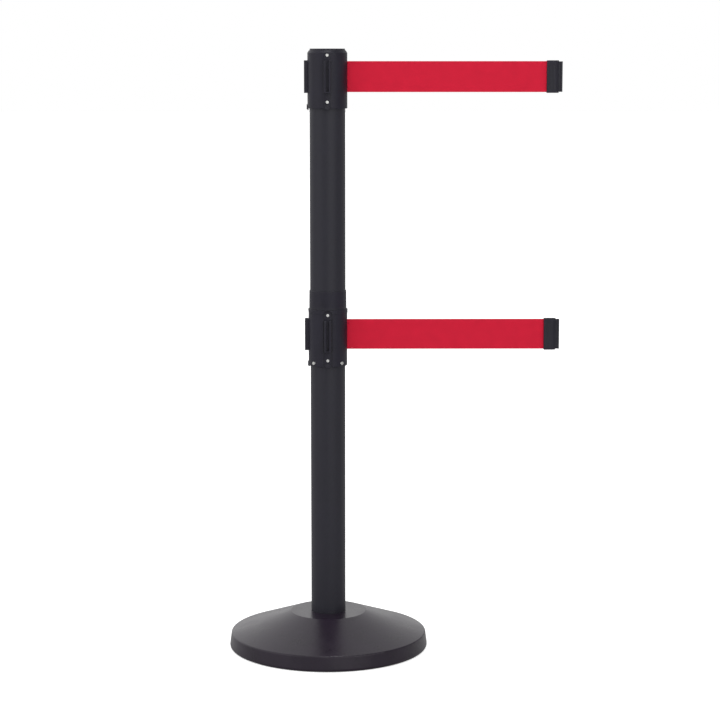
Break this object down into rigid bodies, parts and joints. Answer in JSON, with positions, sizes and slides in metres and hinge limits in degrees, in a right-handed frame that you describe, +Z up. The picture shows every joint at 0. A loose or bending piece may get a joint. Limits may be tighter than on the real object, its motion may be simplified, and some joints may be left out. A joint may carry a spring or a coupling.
{
  "type": "retractable belt stanchion",
  "caption": "Floor-standing queue post: round weighted base, slim tube, and spring-wound flat belts leaving a head and a middle collar, each with side belt receivers.",
  "frame": {"origin": "on the floor at the tube's axis, in the middle of the rubber pad's underside", "axes": "+Z up along the tube, +X the way both belts leave, -Y the front"},
  "size_m": [0.5585, 0.3378, 1.016],
  "materials": {
    "tube_paint": "matte black powder coat",
    "base_paint": "matte black fine-texture powder coat",
    "sleeve_plastic": "satin moulded black",
    "belt_webbing": "close red polyester weave with selvedges",
    "screw_steel": "bright zinc plate",
    "zinc_steel": "dull zinc plate",
    "spring_steel": "blued spring steel",
    "cast_iron": "raw sand-cast",
    "pad_rubber": "matte ribbed rubber",
    "nylon": "natural moulded nylon"
  },
  "bodies": {
    "post": {"base_cover": "base_paint", "base_weight": "cast_iron", "floor_pad": "pad_rubber", "base_bolt": "zinc_steel", "flat_washer": "zinc_steel", "spring_washer": "zinc_steel", "foot_plug": "zinc_steel", "lower_tube": "tube_paint", "upper_tube": "tube_paint", "tube_joiner": "zinc_steel", "head_sleeve": "sleeve_plastic", "collar_sleeve": "sleeve_plastic", "adapter_sleeve": "sleeve_plastic", "top_cap": "sleeve_plastic", "collar_screws": "screw_steel", "upper_front_receiver": "sleeve_plastic", "upper_left_receiver": "sleeve_plastic", "upper_rear_receiver": "sleeve_plastic", "upper_receiver_screws": "screw_steel", "upper_cassette_base": "nylon", "upper_cassette_lid": "nylon", "upper_arbor": "zinc_steel", "upper_thrust_washers": "nylon", "upper_power_spring": "spring_steel", "upper_belt_lead": "belt_webbing", "upper_exit_guide": "sleeve_plastic", "upper_guide_pins": "zinc_steel", "lower_front_receiver": "sleeve_plastic", "lower_left_receiver": "sleeve_plastic", "lower_rear_receiver": "sleeve_plastic", "lower_receiver_screws": "screw_steel", "lower_cassette_base": "nylon", "lower_cassette_lid": "nylon", "lower_arbor": "zinc_steel", "lower_thrust_washers": "nylon", "lower_power_spring": "spring_steel", "lower_belt_lead": "belt_webbing", "lower_exit_guide": "sleeve_plastic", "lower_guide_pins": "zinc_steel"},
    "upper_spool": {"upper_spool_drum": "nylon", "upper_spool_flange": "nylon", "upper_wound_belt": "belt_webbing"},
    "upper_belt_carriage": {"upper_belt": "belt_webbing", "upper_belt_end": "sleeve_plastic", "upper_belt_end_pin": "zinc_steel"},
    "lower_spool": {"lower_spool_drum": "nylon", "lower_spool_flange": "nylon", "lower_wound_belt": "belt_webbing"},
    "lower_belt_carriage": {"lower_belt": "belt_webbing", "lower_belt_end": "sleeve_plastic", "lower_belt_end_pin": "zinc_steel"}
  },
  "joints": [
    {"name": "upper_belt_pull", "type": "slide", "parent": "post", "child": "upper_belt_carriage", "axis": [1, 0, 0], "range_m": [-0.33, 1.956], "deforming": ["upper_belt"]},
    {"name": "upper_spool_turn", "type": "hinge", "parent": "post", "child": "upper_spool", "pos_m": [0, 0, 0.97], "axis": [0, 0, 1], "continuous": true},
    {"name": "lower_belt_pull", "type": "slide", "parent": "post", "child": "lower_belt_carriage", "axis": [1, 0, 0], "range_m": [-0.33, 1.956], "deforming": ["lower_belt"]},
    {"name": "lower_spool_turn", "type": "hinge", "parent": "post", "child": "lower_spool", "pos_m": [0, 0, 0.54], "axis": [0, 0, 1], "continuous": true}
  ],
  "couplings": [
    {"joint": "upper_spool_turn", "follows": "upper_belt_pull", "rad_per_m": -41.494},
    {"joint": "lower_spool_turn", "follows": "lower_belt_pull", "rad_per_m": -41.494}
  ]
}
